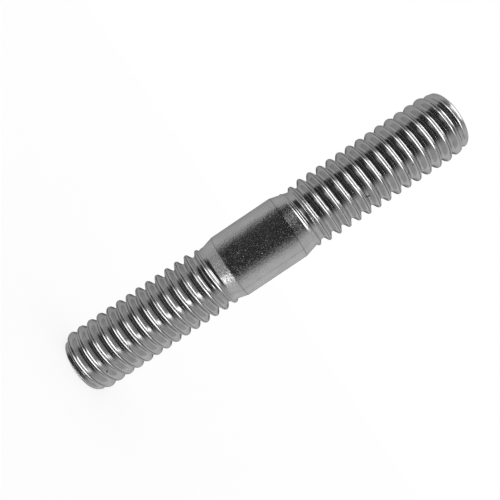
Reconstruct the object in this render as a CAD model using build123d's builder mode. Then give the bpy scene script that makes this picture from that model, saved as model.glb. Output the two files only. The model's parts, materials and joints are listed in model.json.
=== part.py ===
"""Double ended stud, M6 x 1: two rolled threads with a plain full-bodied shank between them."""
import os
from math import ceil, cos, pi, radians, sin, tan

from build123d import *

# Thread, one form for both ends, mm and degrees
THREAD_DIA = 5.84  # across the crests
PITCH = 1.0
FLANK_ANGLE = 60.0  # between the two flanks of a groove
CREST_FLAT = 0.2  # width along the axis

# Lengths along the axis, mm
LOW_END_LENGTH = 15.35  # shorter threaded end, up to the shank's edge
SHANK_LENGTH = 5.95
TOP_END_LENGTH = 16.45  # longer threaded end, from the shank's edge

# Plain shank, and the tapers that step it down to the rolling blank, mm and degrees
SHANK_PROUD = 0.02  # radially, past the crests
TAPER_HALF_ANGLE = 15.0

# Point at each end: how far its edge lies inside the crests, and its length, mm
LOW_POINT_INSET = 0.42
LOW_POINT_LENGTH = 0.65
TOP_POINT_INSET = 0.34
TOP_POINT_LENGTH = 1.35

# Length over which each thread fades into the blank, in turns
LOW_RUN_OUT = 1.1
TOP_RUN_OUT = 1.8

# Where each groove's root leaves its end face, turned about +Z from +X, degrees
LOW_GROOVE_ANGLE = 139.0
TOP_GROOVE_ANGLE = 179.0

# A groove is laid in arcs, and cut from just outside the crests, mm
ARCS_PER_TURN = 3
CUT_MARGIN = 0.06

TOTAL_LENGTH = LOW_END_LENGTH + SHANK_LENGTH + TOP_END_LENGTH
FLANK_SLOPE = tan(radians(FLANK_ANGLE / 2))
CREST_RADIUS = THREAD_DIA / 2
ROOT_RADIUS = CREST_RADIUS - (PITCH - CREST_FLAT) / 2 / FLANK_SLOPE
BLANK_RADIUS = CREST_RADIUS - (PITCH / 2 - CREST_FLAT) / 2 / FLANK_SLOPE
SHANK_RADIUS = CREST_RADIUS + SHANK_PROUD
CUT_RADIUS = CREST_RADIUS + CUT_MARGIN
TAPER_LENGTH = (SHANK_RADIUS - BLANK_RADIUS) / tan(radians(TAPER_HALF_ANGLE))


def groove_corners(z, full_depth_end, blank_end):
    """Radius and height of a groove's root, lower lip and upper lip, where its root is at z."""
    fade = max(0.0, (z - full_depth_end) / (blank_end - full_depth_end))
    root = ROOT_RADIUS + fade * (BLANK_RADIUS + CUT_MARGIN - ROOT_RADIUS)
    half_width = (CUT_RADIUS - root) * FLANK_SLOPE
    return [(root, z), (CUT_RADIUS, z - half_width), (CUT_RADIUS, z + half_width)]


def helical_patch(start, end, angle):
    """Face between two helical edges over one arc, given the pair of points at each end of it."""
    half_arc = pi / ARCS_PER_TURN
    middle = [((r0 + r1) / 2 / cos(half_arc), (z0 + z1) / 2) for (r0, z0), (r1, z1) in zip(start, end)]
    turned = zip((start, middle, end), (angle, angle + half_arc, angle + 2 * half_arc))
    points = [[(r * cos(turn), r * sin(turn), z) for r, z in pair] for pair, turn in turned]
    first_radius, second_radius = start[0][0], start[1][0]
    weights = [[w * second_radius, w * first_radius] for w in (1, cos(half_arc), 1)]
    return Face.make_bezier_surface(points, weights)


def groove(full_depth_end, blank_end):
    """Right-hand V groove as a solid, from one turn below the end face to where it fades out."""
    steps = range(-ARCS_PER_TURN, ceil(blank_end / PITCH * ARCS_PER_TURN) + 1)
    corners = [groove_corners(k * PITCH / ARCS_PER_TURN, full_depth_end, blank_end) for k in steps]
    angles = [2 * pi * k / ARCS_PER_TURN for k in steps]
    faces = []
    for below, above, angle in zip(corners, corners[1:], angles):
        for i, j in ((0, 1), (1, 2), (2, 0)):
            faces.append(helical_patch((below[i], below[j]), (above[i], above[j]), angle))
    for triangle, angle in ((corners[0], angles[0]), (corners[-1], angles[-1])):
        outline = [(r * cos(angle), r * sin(angle), z) for r, z in triangle]
        faces.append(Face(Wire.make_polygon(outline)))
    return Solid(Shell(faces))


def threaded_end(length, run_out, point_inset, point_length):
    """One end, standing on its point at z = 0, up to the shank's edge at z = length."""
    blank_end = length - TAPER_LENGTH
    full_depth_end = blank_end - run_out * PITCH
    cutter = groove(full_depth_end, blank_end)
    with BuildPart() as end:
        with BuildSketch(Plane.XZ):
            with BuildLine():
                Polyline(
                    (0, 0),
                    (CREST_RADIUS - point_inset, 0),
                    (CREST_RADIUS, point_length),
                    (CREST_RADIUS, full_depth_end),
                    (BLANK_RADIUS, blank_end),
                    (SHANK_RADIUS, length),
                    (0, length),
                    close=True,
                )
            make_face()
        revolve(axis=Axis.Z)
        add(cutter, mode=Mode.SUBTRACT)
    return end.part


low_end = threaded_end(LOW_END_LENGTH, LOW_RUN_OUT, LOW_POINT_INSET, LOW_POINT_LENGTH)
top_end = threaded_end(TOP_END_LENGTH, TOP_RUN_OUT, TOP_POINT_INSET, TOP_POINT_LENGTH)

with BuildPart() as stud:
    with Locations(Rotation(0, 0, LOW_GROOVE_ANGLE)):
        add(low_end)
    with Locations((0, 0, LOW_END_LENGTH)):
        Cylinder(SHANK_RADIUS, SHANK_LENGTH, align=(Align.CENTER, Align.CENTER, Align.MIN))
    with Locations(Location((0, 0, TOTAL_LENGTH), (180, 0, -TOP_GROOVE_ANGLE))):
        add(top_end)

stud.part.label = "stud"
os.makedirs("parts", exist_ok=True)
export_step(stud.part, "parts/stud.step")
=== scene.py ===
"""Looks of the M6 double ended stud: rolled thread form, steel finish, studio and camera.

Blender's objects are in metres. Named lengths are in mm and angles in degrees, unless a comment says otherwise.
"""
import json
from functools import partial
from math import cos, pi, radians, sin, tan

import bmesh
import bpy
import numpy as np
from mathutils import Matrix, Vector


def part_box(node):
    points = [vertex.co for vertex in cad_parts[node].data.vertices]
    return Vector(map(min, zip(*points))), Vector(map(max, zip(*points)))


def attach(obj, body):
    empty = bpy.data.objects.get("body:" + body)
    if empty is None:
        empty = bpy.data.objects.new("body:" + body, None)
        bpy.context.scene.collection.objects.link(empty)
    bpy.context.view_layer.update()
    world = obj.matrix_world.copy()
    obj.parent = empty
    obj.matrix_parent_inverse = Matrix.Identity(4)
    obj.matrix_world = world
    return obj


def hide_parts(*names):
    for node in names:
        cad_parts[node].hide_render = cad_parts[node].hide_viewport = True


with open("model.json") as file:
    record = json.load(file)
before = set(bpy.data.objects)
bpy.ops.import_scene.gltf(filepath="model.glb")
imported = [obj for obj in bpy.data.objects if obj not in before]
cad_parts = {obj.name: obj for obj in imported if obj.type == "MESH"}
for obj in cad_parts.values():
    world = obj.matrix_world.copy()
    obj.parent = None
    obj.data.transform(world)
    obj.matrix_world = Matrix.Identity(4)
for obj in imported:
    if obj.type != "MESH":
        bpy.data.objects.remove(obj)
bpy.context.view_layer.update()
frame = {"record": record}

MM = 0.001


def mount(name):
    """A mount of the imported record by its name."""
    return next(m for m in frame["record"]["mounts"] if m["name"] == name)


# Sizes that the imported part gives
low_corner, high_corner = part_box("stud")
TOTAL = high_corner.z / MM
SHANK_RADIUS = min(high_corner.x, -low_corner.x, high_corner.y, -low_corner.y) / MM
SHANK_LENGTH = mount("shank")["dims"]["length_mm"]
SHANK_START = mount("shank")["pos_m"][2] / MM - SHANK_LENGTH / 2
SHANK_END = SHANK_START + SHANK_LENGTH

# Thread form, as in the part's source, with the rounding that rolling leaves.
# A blend is the reach within which two surfaces round into each other.
PITCH = 1.0
CREST_RADIUS = 2.92
ROOT_RADIUS = 2.385
ROOT_BLEND = 0.08
FLANK_SLOPE = tan(radians(30))
ROOF_ROUNDING = 0.02
ROOF_RISE = 0.045
SHOULDER_BLEND = 0.03
RUN_OUT_BLEND = 0.03
TAPER_SLOPE = tan(radians(15))
TAPER_BLEND = 0.02
POINT_BLEND = 0.06

# Unevenness along the helix: waves per turn from slowest to fastest, how many, and how far they reach
WANDER_RATES = (0.35, 3.1)
WANDER_WAVES = 9
CREST_WANDER = 0.005
FOLD_WANDER = 0.006
FOLD_DEPTH_WANDER = 0.15  # share of the fold's depth
FOLD_FULL_HEIGHT = 0.3  # height of the crest over the root from which the fold has its full depth

# The two threaded ends. way is 1 where the shank lies above the end face, and -1 where it lies below.
# root_angle is where the root leaves the end face, about +Z from +X. flanks are the radii at which the flanks
# would meet in the root, and roof the slopes of the crest, each for the side towards the low end and then for
# the other side. fold_zone gives the heights between which the fold along the crest is darkened with painted
# shade. Run-outs give the radius of crest and root by the distance in turns past last_full: the dies left the
# first half turn short of full height, and folded it up again before the neck.
LOW_END = {
    "way": 1,
    "face_z": 0.0,
    "shank_edge": SHANK_START,
    "root_angle": 139.0,
    "flanks": (2.29, 2.22),
    "roof": (0.52, 0.80),
    "fold_depth": 0.07,
    "fold_half_width": 0.028,
    "fold_zone": (0.5, 14.11),
    "last_full": 13.11,
    "crest_run_out": ((0.0, 2.92), (0.5, 2.79), (0.75, 2.85), (1.0, 2.88), (1.3, 2.76), (1.5, 2.66)),
    "root_run_out": ((0.2, 2.39), (0.5, 2.49), (0.72, 2.60), (0.9, 2.65), (1.0, 2.66)),
    "face_radius": 2.50,
    "point_length": 0.65,
    "edge_rounding": 0.05,
    "seed": 11,
}
TOP_END = {
    "way": -1,
    "face_z": TOTAL,
    "shank_edge": SHANK_END,
    "root_angle": 179.0,
    "flanks": (2.22, 2.26),
    "roof": (0.80, 0.55),
    "fold_depth": 0.06,
    "fold_half_width": 0.024,
    "fold_zone": (23.0, TOTAL - 1.1),
    "last_full": 24.0,
    "crest_run_out": (
        (0.0, 2.92), (0.25, 2.915), (0.5, 2.86), (0.75, 2.79), (1.25, 2.79), (1.75, 2.71), (2.1, 2.66),
    ),
    "root_run_out": ((0.1, 2.39), (0.75, 2.43), (1.25, 2.50), (1.45, 2.60), (1.6, 2.66), (1.9, 2.67)),
    "face_radius": 2.58,
    "point_length": 1.35,
    "edge_rounding": 0.27,
    "seed": 47,
}

# Dents that handling left on the crests: height, degrees about +Z from +X, and depth
NICKS = (
    (36.38, 243.0, 0.07),
    (12.96, 248.0, 0.05),
    (4.86, 235.0, 0.05),
    (23.45, 262.0, 0.03),
    (23.52, 276.0, 0.03),
)
NICK_REACH = 0.09  # along the axis
NICK_SPREAD = 0.11  # around it

# Mesh: points in a ring, and where the rings and the threads' rows lie
COLUMNS = 112
HALF_STATIONS = (0.015, 0.03, 0.045, 0.07, 0.13, 0.155, 0.18, 0.21, 0.32, 0.40, 0.43, 0.46)  # turns from a crest
RIM_STEPS = (0.0, 0.008, 0.02, 0.04, 0.07, 0.11, 0.15, 0.20, 0.25, 0.30)  # from the end face
EDGE_STEPS = (0.08, 0.03, 0.0, -0.03, -0.08)  # from the shank's edge, outwards
THREAD_TO_SHANK = 0.5  # last row of a thread to the shank's edge
TAPER_RINGS = 5
TAPER_CLEAR = 0.15  # last taper ring to the shank's edge
SHANK_RINGS = 14
SHANK_CLEAR = 0.3  # first shank ring to the shank's edge
FACE_SHARES = (1.0, 0.97, 0.8, 0.55, 0.3, 0.1)  # of the end face's radius
WELD = 2e-7  # metres
SHARP_ANGLE = 75.0


def soft_min(a, b, reach):
    """Smaller of two values, rounded where they come within reach of each other."""
    h = np.maximum(reach - np.abs(a - b), 0) / reach
    return np.minimum(a, b) - h * h * reach / 4


def soft_max(a, b, reach):
    """Larger of two values, rounded where they come within reach of each other."""
    return -soft_min(-a, -b, reach)


def wander(turns, seed, amount):
    """Slow seeded wander along the helix."""
    rng = np.random.default_rng(seed)
    rates = rng.uniform(*WANDER_RATES, WANDER_WAVES)
    phases = rng.uniform(0, 2 * pi, WANDER_WAVES)
    total = sum(np.sin(2 * pi * rate * turns + phase) for rate, phase in zip(rates, phases))
    return amount * total / np.sqrt(WANDER_WAVES)


def full_profile(from_crest, flanks, roof):
    """Radius of a full thread at a distance along the axis from its crest: root, flanks and roof-shaped crest."""
    low_side = from_crest < 0
    from_root = PITCH / 2 - np.abs(from_crest)
    walls = np.where(low_side, flanks[0], flanks[1]) + from_root / FLANK_SLOPE
    walls = soft_max(walls, ROOT_RADIUS, ROOT_BLEND)
    slope = np.where(low_side, roof[0], roof[1])
    top = CREST_RADIUS + ROOF_RISE - np.sqrt((slope * from_crest) ** 2 + ROOF_ROUNDING**2)
    return soft_min(walls, top, SHOULDER_BLEND)


def crest_offset(end, z, angle):
    """Distance along the axis from an end's nearest crest, at height z and angle."""
    turns = (z - end["face_z"]) / PITCH - (angle - radians(end["root_angle"])) / (2 * pi)
    return (turns - np.floor(turns) - 0.5) * PITCH


def fold(end, z, angle):
    """1 in the middle of the fold that rolling left along the crest, falling to 0 beside it."""
    along = z / PITCH + angle / (2 * pi)
    place = crest_offset(end, z, angle) - wander(along, end["seed"] + 1, FOLD_WANDER)
    depth = 1 + wander(along, end["seed"] + 2, FOLD_DEPTH_WANDER)
    return np.exp(-((place / end["fold_half_width"]) ** 2)) * depth


def nicks(z, angle):
    """Depth of the dents on the crests."""
    depth = 0.0
    for height, turn, deep in NICKS:
        around = (np.mod(angle - radians(turn) + pi, 2 * pi) - pi) * CREST_RADIUS
        depth = depth + deep * np.exp(-(((z - height) / NICK_REACH) ** 2) - (around / NICK_SPREAD) ** 2)
    return depth


def run_out(end, name, height):
    """Radius that a run-out gives at a height."""
    places, radii = zip(*end[name])
    return np.interp(end["way"] * (height - end["last_full"]) / PITCH, places, radii)


def thread_radius(end, z, angle):
    """Radius of one thread at height z and angle."""
    from_crest = crest_offset(end, z, angle)
    along = z / PITCH + angle / (2 * pi)
    crest = run_out(end, "crest_run_out", z - from_crest) + wander(along, end["seed"], CREST_WANDER)
    root = run_out(end, "root_run_out", z)
    form = full_profile(from_crest, end["flanks"], end["roof"])
    radius = soft_max(crest - CREST_RADIUS + form, root, RUN_OUT_BLEND)
    depth = end["fold_depth"] * np.clip((crest - root) / FOLD_FULL_HEIGHT, 0, 1)
    return radius - depth * fold(end, z, angle) - nicks(z, angle)


def end_rounding(radius, depth, rounding):
    """Rounds the rim of an end face, depth being the distance from that face."""
    inside = np.clip(rounding - depth, 0, rounding)
    return radius - rounding + np.sqrt(np.maximum(rounding**2 - inside**2, 0))


def end_radius(end, z, angle):
    """Radius of one threaded end at height z and angle, from its end face to its taper."""
    depth = end["way"] * (z - end["face_z"])
    taper = SHANK_RADIUS - end["way"] * (end["shank_edge"] - z) * TAPER_SLOPE
    point = end["face_radius"] + (CREST_RADIUS - end["face_radius"]) * depth / end["point_length"]
    body = soft_max(thread_radius(end, z, angle), taper, TAPER_BLEND)
    return end_rounding(soft_min(body, point, POINT_BLEND), depth, end["edge_rounding"])


def shank_radius(z, angle):
    """Radius of the plain shank and of the tapers beside it, the same at every angle."""
    taper_low = SHANK_RADIUS - (SHANK_START - z) * TAPER_SLOPE
    taper_top = SHANK_RADIUS - (z - SHANK_END) * TAPER_SLOPE
    flat = np.full_like(z, SHANK_RADIUS)
    return soft_min(soft_min(flat, taper_low, TAPER_BLEND), taper_top, TAPER_BLEND)


def ring(z, radius_at, angles):
    """One ring of points at height z."""
    radius = radius_at(np.full_like(angles, z), angles)
    return np.stack([radius * np.cos(angles), radius * np.sin(angles), np.full_like(angles, z)], 1)


def ring_faces(rows, first):
    """Quads between rings that follow one another, as indices from first."""
    faces = []
    for row in range(rows - 1):
        a = first + row * COLUMNS
        for j in range(COLUMNS):
            k = (j + 1) % COLUMNS
            faces.append((a + j, a + k, a + COLUMNS + k, a + COLUMNS + j))
    return faces


def thread_grid(end, low, high, angles, first):
    """Grid whose rows run along the helix, cut off level at low and high, as points and faces from index first."""
    stations = sorted([0.0, 0.5] + [-s for s in HALF_STATIONS] + list(HALF_STATIONS))
    per_turn = len(stations)
    crest = end["face_z"] - PITCH * end["root_angle"] / 360 + PITCH / 2
    start = int(np.floor((low - crest) / PITCH)) - 2
    stop = int(np.ceil((high - crest) / PITCH)) + 2
    heights = np.array([crest + (n + s) * PITCH for n in range(start, stop) for s in stations])
    z = np.clip(heights[:, None] + PITCH * angles[None, :] / (2 * pi), low, high)
    radius = end_radius(end, z, np.broadcast_to(angles, z.shape))
    index = np.zeros(z.shape, int)
    points = []
    for j in range(COLUMNS):
        last_z = None
        for i in range(len(heights)):
            if last_z is None or z[i, j] > last_z:
                points.append((radius[i, j] * cos(angles[j]), radius[i, j] * sin(angles[j]), z[i, j]))
                last_z = z[i, j]
            index[i, j] = first + len(points) - 1
    faces = []
    for i in range(len(heights) - 1 - per_turn):
        for j in range(COLUMNS):
            if j < COLUMNS - 1:
                corners = (index[i, j], index[i, j + 1], index[i + 1, j + 1], index[i + 1, j])
            else:
                corners = (index[i, j], index[i + per_turn, 0], index[i + 1 + per_turn, 0], index[i + 1, j])
            kept = list(dict.fromkeys(int(c) for c in corners))
            if len(kept) > 2:
                faces.append(kept)
    return points, faces


def stud_form():
    """Points in mm and faces of the whole stud: points, threads, tapers, shank and end faces."""
    angles = 2 * pi * np.arange(COLUMNS) / COLUMNS
    points, faces = [], []
    low_radius, top_radius = partial(end_radius, LOW_END), partial(end_radius, TOP_END)

    def add_rings(heights, radius_at):
        rings = [ring(z, radius_at, angles) for z in heights]
        faces.extend(ring_faces(len(rings), len(points)))
        for r in rings:
            points.extend(map(tuple, r))

    def add_thread(end, low, high):
        more_points, more_faces = thread_grid(end, low, high, angles, len(points))
        points.extend(more_points)
        faces.extend(more_faces)

    def add_face(z, radius_at):
        outer = ring(z, radius_at, angles)
        faces.extend(ring_faces(len(FACE_SHARES), len(points)))
        for share in FACE_SHARES:
            points.extend(map(tuple, outer * (share, share, 1)))
        hub = len(points)
        points.append((0.0, 0.0, z))
        last = hub - COLUMNS
        faces.extend((last + j, last + (j + 1) % COLUMNS, hub) for j in range(COLUMNS))

    rim = RIM_STEPS[-1]
    low_neck, top_neck = SHANK_START - THREAD_TO_SHANK, SHANK_END + THREAD_TO_SHANK
    steps = list(np.linspace(low_neck, SHANK_START - TAPER_CLEAR, TAPER_RINGS))
    steps += [SHANK_START - d for d in EDGE_STEPS]
    steps += list(np.linspace(SHANK_START + SHANK_CLEAR, SHANK_END - SHANK_CLEAR, SHANK_RINGS))
    steps += [SHANK_END + d for d in reversed(EDGE_STEPS)]
    steps += list(np.linspace(SHANK_END + TAPER_CLEAR, top_neck, TAPER_RINGS))
    add_rings(RIM_STEPS, low_radius)
    add_thread(LOW_END, rim, low_neck)
    add_rings(steps, shank_radius)
    add_thread(TOP_END, top_neck, TOTAL - rim)
    add_rings([TOTAL - d for d in reversed(RIM_STEPS)], top_radius)
    add_face(0.0, low_radius)
    add_face(TOTAL, top_radius)
    return points, faces


def fold_shade_share(mesh):
    """How far each point of the mesh lies in the fold along a crest, from 0 to 1, the mask for the steel's painted
    shade in that fold.
    """
    place = np.array([tuple(v.co) for v in mesh.vertices]) / MM
    z, angle = place[:, 2], np.mod(np.arctan2(place[:, 1], place[:, 0]), 2 * pi)
    share = 0.0
    for end in (LOW_END, TOP_END):
        low, high = end["fold_zone"]
        share = share + fold(end, z, angle) * (z < high) * (z > low)
    return np.clip(share, 0, 1)


def build_stud():
    """The whole stud as one closed mesh."""
    points, faces = stud_form()
    mesh = bpy.data.meshes.new("stud_rolled")
    mesh.from_pydata([(x * MM, y * MM, z * MM) for x, y, z in points], [], faces)
    form = bmesh.new()
    form.from_mesh(mesh)
    bmesh.ops.remove_doubles(form, verts=form.verts, dist=WELD)
    bmesh.ops.recalc_face_normals(form, faces=form.faces)
    for face in form.faces:
        face.smooth = True
    for edge in form.edges:
        if len(edge.link_faces) == 2 and edge.calc_face_angle() > radians(SHARP_ANGLE):
            edge.smooth = False
    form.to_mesh(mesh)
    form.free()
    # Fold mask that the steel reads to lay painted shade in the folds along the crests
    mesh.attributes.new("fold", "FLOAT", "POINT").data.foreach_set("value", fold_shade_share(mesh))
    piece = bpy.data.objects.new("stud_rolled", mesh)
    bpy.context.scene.collection.objects.link(piece)
    return piece


FALL = (1.0, 0.0)  # for a ramp that goes down


class Nodes:
    """Short calls for building one node tree."""

    def __init__(self, tree):
        self.tree = tree
        tree.nodes.clear()

    def add(self, kind, inputs=(), **settings):
        node = self.tree.nodes.new(kind)
        for name, value in settings.items():
            setattr(node, name, value)
        for socket, value in dict(inputs).items():
            self.put(node.inputs[socket], value)
        return node

    def put(self, socket, value):
        if isinstance(value, bpy.types.NodeSocket):
            self.tree.links.new(value, socket)
        else:
            socket.default_value = value

    def math(self, operation, a, b=0.0):
        return self.add("ShaderNodeMath", {0: a, 1: b}, operation=operation).outputs[0]

    def vector(self, operation, a, b=(0.0, 0.0, 0.0)):
        """Vector maths. A length or a dot product is a value, and any other result a vector."""
        node = self.add("ShaderNodeVectorMath", {0: a, 1: b}, operation=operation)
        return node.outputs["Value" if operation in ("LENGTH", "DOT_PRODUCT") else "Vector"]

    def xyz(self, x, y, z):
        return self.add("ShaderNodeCombineXYZ", {0: x, 1: y, 2: z}).outputs[0]

    def grey(self, level):
        return self.add("ShaderNodeCombineColor", {0: level, 1: level, 2: level}).outputs[0]

    def ramp(self, value, span, to=(0.0, 1.0)):
        """Smooth step as value crosses the span."""
        inputs = {"Value": value, "From Min": span[0], "From Max": span[1], "To Min": to[0], "To Max": to[1]}
        node = self.add("ShaderNodeMapRange", inputs, interpolation_type="SMOOTHSTEP")
        return node.outputs["Result"]

    def mix(self, share, a, b):
        """a where share is 0, and b where it is 1."""
        return self.add("ShaderNodeMix", {0: share, 2: a, 3: b}, data_type="FLOAT").outputs[0]

    def noise(self, place, scale, detail, roughness):
        inputs = {"Vector": place, "Scale": scale, "Detail": detail, "Roughness": roughness}
        return self.add("ShaderNodeTexNoise", inputs).outputs["Fac"]


# Small flaws of the surface: height, degrees about +Z from +X, half length along the axis and half width
DARK_MARKS = (
    (2.15, 304.5, 0.07, 0.08),
    (28.14, 310.2, 0.16, 0.08),
    (31.80, 308.9, 0.15, 0.09),
    (16.9, 318.0, 0.05, 0.03),
    (20.6, 231.0, 0.07, 0.03),
)
DULL_SPECKS = (
    (16.72, 259.1, 0.05, 0.05),
    (17.28, 261.7, 0.06, 0.06),
    (16.88, 269.1, 0.05, 0.05),
    (15.6, 255.0, 0.04, 0.04),
    (18.3, 281.0, 0.04, 0.04),
)
FLAW_EDGE = (0.5, 1.3)  # where a flaw fades, in half widths from its middle
DRAW_LINE_ANGLE = 319.0
DRAW_LINE_EDGE = (0.02, 0.12)
EDGE_LINE_SHIFT = 0.02  # from the shank's edge onto its taper
EDGE_LINE_EDGE = (0.02, 0.06)
TORN_CREST_HEIGHT = 23.46
TORN_CREST_EDGE = (0.2, 0.3)

# Parts of the surface: how far beyond the shank its grain ends, and the radii between which a crest begins
GRAIN_END = (0.9, 1.2)
CREST_START = (2.80, 2.90)

# Noise: scale per metre, detail and roughness, and the span of its values that is used
STREAKS = (9000.0, 4.0, 0.6)
STREAKS_SPAN = (0.3, 0.7)
STREAKS_STRETCH = (0.12, 0.12, 1.0)
GRAIN = (6000.0, 4.0, 0.6)
GRAIN_SPAN = (0.36, 0.64)
BLOTCHES = (900.0, 3.0, 0.5)
BLOTCHES_SPAN = (0.3, 0.7)
# Span of the fold mask over which the painted shade in the folds sets in
FOLD_SHADE_SPAN = (0.25, 0.75)

# Brightness of the steel, and the share of it that each feature adds, takes or leaves
STEEL_TONE = (0.71, 0.79)
STREAKS_TONE = 0.08
SHANK_GAIN = 0.10
# Share of the tone left in the middle of a fold: painted shade in that crease
FOLD_SHADE_TONE = 0.35
MARK_LOSS = 0.9
DRAW_LINE_LOSS = 0.14
EDGE_LINE_TONE = 0.6
STEEL_TINT = (0.75, 0.75, 0.75, 1.0)

# Roughness
SHANK_ROUGHNESS = (0.13, 0.33)
ROLLED_ROUGHNESS = (0.14, 0.20)
CREST_ROUGHNESS = 0.10
SPECK_ROUGHNESS = 0.4

# Relief: its depth, and the share of that depth that grain and streaks have
RELIEF_DEPTH = 0.024
SHANK_RELIEF = 0.97
ROLLED_RELIEF = 0.03
TORN_RELIEF = 0.6
STREAKS_RELIEF = 0.02


def in_mm(*values):
    """Values in mm as a tuple in metres."""
    return tuple(value * MM for value in values)


def beside_and_out(n, place, turn):
    """Distances in metres from the plane through the axis at an angle, and outwards along that plane."""
    outwards = (cos(radians(turn)), sin(radians(turn)), 0.0)
    across = (-outwards[1], outwards[0], 0.0)
    return n.vector("DOT_PRODUCT", place, across), n.vector("DOT_PRODUCT", place, outwards)


def flaw(n, place, z, height, turn, long, short):
    """1 on a small flaw, 0 off it. place and z are in metres, and the rest as in the tables above."""
    beside, out = beside_and_out(n, place, turn)
    along = n.math("MULTIPLY", n.math("SUBTRACT", z, height * MM), short / long)
    off = n.xyz(beside, n.math("MINIMUM", out, 0.0), along)
    return n.ramp(n.vector("LENGTH", off), in_mm(*(edge * short for edge in FLAW_EDGE)), FALL)


def lessened(n, value, share, loss):
    """value where share is 0, and less by the given loss where it is 1."""
    return n.math("MULTIPLY", value, n.math("SUBTRACT", 1.0, n.math("MULTIPLY", share, loss)))


def steel_tone(n, place, z, shank, streaks):
    """Brightness of the steel: blotches, streaks, painted shade in the folds, marks, the draw line and the shank's
    edges.
    """
    tone = n.ramp(n.noise(place, *BLOTCHES), BLOTCHES_SPAN, STEEL_TONE)
    tone = n.math("ADD", tone, n.math("MULTIPLY", n.math("SUBTRACT", streaks, 0.5), STREAKS_TONE))
    tone = n.math("MULTIPLY", tone, n.math("ADD", n.math("MULTIPLY", shank, SHANK_GAIN), 1.0))
    # Painted shade: the fold along each crest is darkened as if shaded in its crease
    folded = n.add("ShaderNodeAttribute", attribute_name="fold").outputs["Fac"]
    tone = n.math("MULTIPLY", tone, n.ramp(folded, FOLD_SHADE_SPAN, (1.0, FOLD_SHADE_TONE)))
    for mark in DARK_MARKS:
        tone = lessened(n, tone, flaw(n, place, z, *mark), MARK_LOSS)
    beside, out = beside_and_out(n, place, DRAW_LINE_ANGLE)
    line = n.ramp(n.math("ABSOLUTE", beside), in_mm(*DRAW_LINE_EDGE), FALL)
    line = n.math("MULTIPLY", n.math("MULTIPLY", line, n.math("GREATER_THAN", out, 0.0)), shank)
    tone = lessened(n, tone, line, DRAW_LINE_LOSS)
    for height in (SHANK_START - EDGE_LINE_SHIFT, SHANK_END + EDGE_LINE_SHIFT):
        off = n.math("ABSOLUTE", n.math("SUBTRACT", z, height * MM))
        tone = n.math("MULTIPLY", tone, n.ramp(off, in_mm(*EDGE_LINE_EDGE), (EDGE_LINE_TONE, 1.0)))
    return tone


def steel_roughness(n, place, z, shank, crest, streaks, grain):
    """Roughness of the steel: grained shank, smoother threads, burnished crests and dull specks."""
    grained = n.ramp(grain, GRAIN_SPAN, SHANK_ROUGHNESS)
    rolled = n.ramp(streaks, STREAKS_SPAN, ROLLED_ROUGHNESS)
    rough = n.mix(crest, n.mix(shank, rolled, grained), CREST_ROUGHNESS)
    for speck in DULL_SPECKS:
        rough = n.math("ADD", rough, n.math("MULTIPLY", flaw(n, place, z, *speck), SPECK_ROUGHNESS))
    return rough


def steel_relief(n, z, shank, streaks, grain):
    """Height of the steel's fine relief: grain on the shank and on the torn crest, and faint streaks."""
    relief = n.math("MULTIPLY", grain, n.math("ADD", n.math("MULTIPLY", shank, SHANK_RELIEF), ROLLED_RELIEF))
    off = n.math("ABSOLUTE", n.math("SUBTRACT", z, TORN_CREST_HEIGHT * MM))
    torn = n.ramp(off, in_mm(*TORN_CREST_EDGE), FALL)
    relief = n.math("ADD", relief, n.math("MULTIPLY", grain, n.math("MULTIPLY", torn, TORN_RELIEF)))
    return n.math("ADD", relief, n.math("MULTIPLY", streaks, STREAKS_RELIEF))


def steel_material():
    """Bright self-colour steel: burnished crests, duller flanks, grained shank, with painted shade laid in the
    folds along the crests.
    """
    material = bpy.data.materials.new("steel")
    material.use_nodes = True
    n = Nodes(material.node_tree)
    place = n.add("ShaderNodeTexCoord").outputs["Object"]
    x, y, z = n.add("ShaderNodeSeparateXYZ", {0: place}).outputs
    radius = n.vector("LENGTH", n.xyz(x, y, 0.0))

    near, far = GRAIN_END
    after_low = n.ramp(z, in_mm(SHANK_START - far, SHANK_START - near))
    before_top = n.ramp(z, in_mm(SHANK_END + near, SHANK_END + far), FALL)
    shank = n.math("MULTIPLY", after_low, before_top)
    crest = n.math("MULTIPLY", n.ramp(radius, in_mm(*CREST_START)), n.math("SUBTRACT", 1.0, shank))
    streaks = n.noise(n.vector("MULTIPLY", place, STREAKS_STRETCH), *STREAKS)
    grain = n.noise(place, *GRAIN)

    tone = steel_tone(n, place, z, shank, streaks)
    rough = steel_roughness(n, place, z, shank, crest, streaks, grain)
    relief = steel_relief(n, z, shank, streaks, grain)
    bump = n.add("ShaderNodeBump", {"Height": relief, "Strength": 1.0, "Distance": RELIEF_DEPTH * MM})
    shader = n.add("ShaderNodeBsdfPrincipled", {
        "Base Color": n.grey(tone),
        "Metallic": 1.0,
        "Roughness": rough,
        "Specular Tint": STEEL_TINT,
        "Normal": bump.outputs[0],
    })
    n.add("ShaderNodeOutputMaterial", {0: shader.outputs[0]})
    return material


# Floor
PAPER_FIBRES = (600.0, 3.0, 0.55)
PAPER_TONE = (0.93, 0.97)
PAPER_GLOW = 0.8  # share of plain white that the camera sees on the floor
FLOOR_RADIUS = 0.6  # metres
FLOOR_SIDES = 96


def floor_material():
    """Plain pale paper that keeps the stud's soft shadow."""
    material = bpy.data.materials.new("paper")
    material.use_nodes = True
    n = Nodes(material.node_tree)
    place = n.add("ShaderNodeTexCoord").outputs["Object"]
    fibres = n.ramp(n.noise(place, *PAPER_FIBRES), (0.0, 1.0), PAPER_TONE)
    paper = n.add("ShaderNodeBsdfDiffuse", {"Color": n.grey(fibres)})
    white = n.add("ShaderNodeEmission", {"Color": (1, 1, 1, 1), "Strength": 1.0})
    seen = n.add("ShaderNodeLightPath").outputs["Is Camera Ray"]
    share = n.math("MULTIPLY", seen, PAPER_GLOW)
    mix = n.add("ShaderNodeMixShader", {0: share, 1: paper.outputs[0], 2: white.outputs[0]})
    n.add("ShaderNodeOutputMaterial", {0: mix.outputs[0]})
    return material


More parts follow.
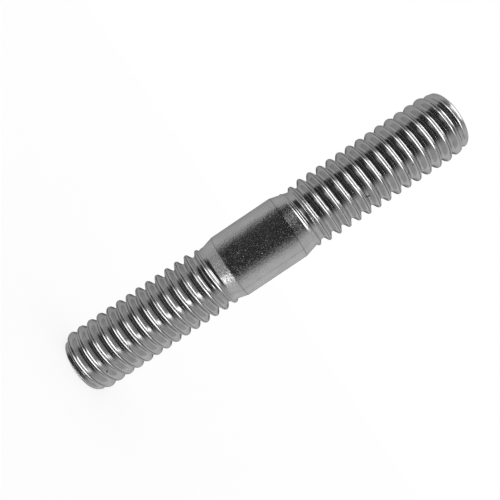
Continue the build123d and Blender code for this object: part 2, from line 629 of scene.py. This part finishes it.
def stage_floor():
    """Round floor under the stud. Reflections don't find it."""
    form = bmesh.new()
    bmesh.ops.create_circle(form, cap_ends=True, segments=FLOOR_SIDES, radius=FLOOR_RADIUS)
    mesh = bpy.data.meshes.new("floor")
    form.to_mesh(mesh)
    form.free()
    floor = bpy.data.objects.new("floor", mesh)
    bpy.context.scene.collection.objects.link(floor)
    floor.location.z = low_corner.z
    floor.visible_glossy = False
    mesh.materials.append(floor_material())


# Studio, as reflections find it. Two angles give a direction: across, from the camera's side towards +X, and
# rise, above level; or aside, out of the upright plane from camera to stud, and over, within that plane.
# Soft edges are how far a zone fades to either side of each end of its span. Levels are strengths.

# Walls: levels at the left and right as the camera sees them, and at the right behind the stud
WALL_LEFT = 0.375
WALL_RIGHT = 0.44
BACK_WALL_RIGHT = 0.54
WALL_SPAN = (-0.5, 0.5)  # of the direction's X
WALL_TURN = (-0.7, -0.2)  # of the direction's part towards the camera, from the back wall to the others

# Dark gap straight behind the stud: half width and half height in the direction's X and Z
GAP_WIDTH = 0.31
GAP_HEIGHT = 0.68
GAP_EDGE = (0.75, 1.15)  # where it fades, in half widths
GAP_TURN = (-0.2, 0.0)  # of the direction's part towards the camera
GAP_LEVEL = 0.14

# Dark flag on the camera's side, with a grey skirt below it and a grey band above it. Span and soft edges
# across are given for its upper and its lower part, and rise, soft edges and level for each of the three.
FLAG_HIGH_SIDES = ((-84.0, 54.0), (3.0, 23.0))
FLAG_LOW_SIDES = ((-73.0, 54.0), (15.0, 23.0))
FLAG_TURN = (-5.0, 4.0)  # rise at which the lower part turns into the upper one
SKIRT = ((-58.0, -26.0), (4.0, 4.0), 0.30)
BAND = ((38.0, 58.0), (2.5, 4.0), 0.20)
FLAG = ((-26.0, 39.0), (4.0, 2.5), 0.027)

# Ceiling, and zones laid under and over it: span and soft edges aside, the same over, and level
CEILING_RISE = (56.0, 64.0)
CEILING_LEVEL = 0.24
PATCH = ((-29.0, -8.0), (4.0, 4.0), (37.0, 61.0), (9.0, 4.0), 0.42)
SPOT = ((18.5, 33.0), (3.0, 3.0), (-58.0, -41.3), (2.0, 1.5), 2.8)
UNDER = ((-26.0, 26.0), (8.0, 8.0), (-135.0, -84.0), (8.0, 4.0), 0.17)
TOP_BOX = ((-25.0, 14.0), (5.0, 5.0), (55.0, 97.0), (3.0, 6.0), 2.1)
LOW_BOX = ((-27.0, 40.0), (5.0, 5.0), (-84.0, -56.0), (6.0, 3.0), 2.1)


def between(n, value, span, edges):
    """1 inside the span, falling to 0 across its soft edges."""
    rise = n.ramp(value, (span[0] - edges[0], span[0] + edges[0]))
    fall = n.ramp(value, (span[1] - edges[1], span[1] + edges[1]), FALL)
    return n.math("MULTIPLY", rise, fall)


def studio_walls(n, right, up, front):
    """Level of the studio's walls, with the dark gap straight behind the stud."""
    sides = n.ramp(right, WALL_SPAN, (WALL_LEFT, WALL_RIGHT))
    behind = n.ramp(right, WALL_SPAN, (WALL_LEFT, BACK_WALL_RIGHT))
    level = n.mix(n.ramp(front, WALL_TURN, FALL), sides, behind)
    off = n.vector("LENGTH", n.xyz(right, 0.0, n.math("MULTIPLY", up, GAP_WIDTH / GAP_HEIGHT)))
    gap = n.ramp(off, (GAP_EDGE[0] * GAP_WIDTH, GAP_EDGE[1] * GAP_WIDTH), FALL)
    gap = n.math("MULTIPLY", gap, n.ramp(front, GAP_TURN, FALL))
    return n.mix(gap, level, GAP_LEVEL)


def studio_flag(n, level, across, rise):
    """Level with the flag laid over it, and the skirt and band beside the flag."""
    low_sides, high_sides = between(n, across, *FLAG_LOW_SIDES), between(n, across, *FLAG_HIGH_SIDES)
    sides = n.mix(n.ramp(rise, FLAG_TURN), low_sides, high_sides)
    for span, edges, strength in (SKIRT, BAND, FLAG):
        level = n.mix(n.math("MULTIPLY", sides, between(n, rise, span, edges)), level, strength)
    return level


def studio_zones(n, level, aside, over, *zones):
    """Level with zones laid over it, one on another."""
    for span, edges, over_span, over_edges, strength in zones:
        zone = n.math("MULTIPLY", between(n, aside, span, edges), between(n, over, over_span, over_edges))
        level = n.mix(zone, level, strength)
    return level


def studio_world():
    """Plain white for the camera and for diffuse light. Reflections find a grey studio, a flag and softboxes."""
    world = bpy.data.worlds.new("studio")
    bpy.context.scene.world = world
    world.use_nodes = True
    world.cycles.sampling_method = "NONE"
    n = Nodes(world.node_tree)
    way = n.add("ShaderNodeTexCoord").outputs["Generated"]
    right, back, up = n.add("ShaderNodeSeparateXYZ", {0: way}).outputs
    front = n.math("MULTIPLY", back, -1.0)

    def degrees(operation, *values):
        return n.math("MULTIPLY", n.math(operation, *values), 180 / pi)

    across, rise = degrees("ARCTAN2", right, front), degrees("ARCSINE", up)
    over, aside = degrees("ARCTAN2", up, front), degrees("ARCSINE", right)

    level = studio_walls(n, right, up, front)
    level = studio_flag(n, level, across, rise)
    level = studio_zones(n, level, aside, over, PATCH, SPOT)
    level = n.mix(n.ramp(rise, CEILING_RISE), level, CEILING_LEVEL)
    level = studio_zones(n, level, aside, over, UNDER, TOP_BOX, LOW_BOX)
    path = n.add("ShaderNodeLightPath")
    mirrored = n.math("MAXIMUM", path.outputs["Is Glossy Ray"], path.outputs["Is Transmission Ray"])
    strength = n.mix(mirrored, 1.0, level)
    background = n.add("ShaderNodeBackground", {"Color": (1, 1, 1, 1), "Strength": strength})
    n.add("ShaderNodeOutputWorld", {0: background.outputs[0]})


# Camera, on the stud's -Y side. TILT turns the stud's axis out of the view's plane, and LEAN turns it within
# that plane. The point at AIM_HEIGHT on the axis lies AIM_RIGHT and AIM_DOWN of the view's middle.
LENS = 41.04
SENSOR = 36.0
TILT = 2.01
LEAN = 33.86
AIM_HEIGHT = 19.07
AIM_RIGHT = 1.390
AIM_DOWN = -0.695
DISTANCE = 48.908
CLIP = (0.001, 10.0)  # metres


def place_camera():
    """Camera at the photograph's angle, level with the middle of the stud."""
    tilt, lean = radians(TILT), radians(LEAN)
    axis = Vector((cos(tilt) * cos(lean), -cos(tilt) * sin(lean), -sin(tilt)))
    front = Vector((0, 0, -1))
    front = (front - axis * front.dot(axis)).normalized()
    side = axis.cross(front)
    aim = Vector((AIM_RIGHT, AIM_DOWN, DISTANCE))
    place = Vector((-aim.dot(side), aim.dot(front), AIM_HEIGHT - aim.dot(axis)))
    right = Vector((side.x, -front.x, axis.x))
    up = -Vector((side.y, -front.y, axis.y))
    back = -Vector((side.z, -front.z, axis.z))
    data = bpy.data.cameras.new("camera")
    data.sensor_width = SENSOR
    data.lens = LENS
    data.clip_start, data.clip_end = CLIP
    camera = bpy.data.objects.new("camera", data)
    bpy.context.scene.collection.objects.link(camera)
    turn = Matrix((right, up, back)).transposed().to_4x4()
    camera.matrix_world = Matrix.Translation(place * MM) @ turn
    bpy.context.scene.camera = camera


place_camera()
studio_world()
stage_floor()
stud = build_stud()
stud.data.materials.append(steel_material())
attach(stud, "root")
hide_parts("stud")

bpy.context.scene.view_settings.view_transform = "Standard"
bpy.context.view_layer.update()
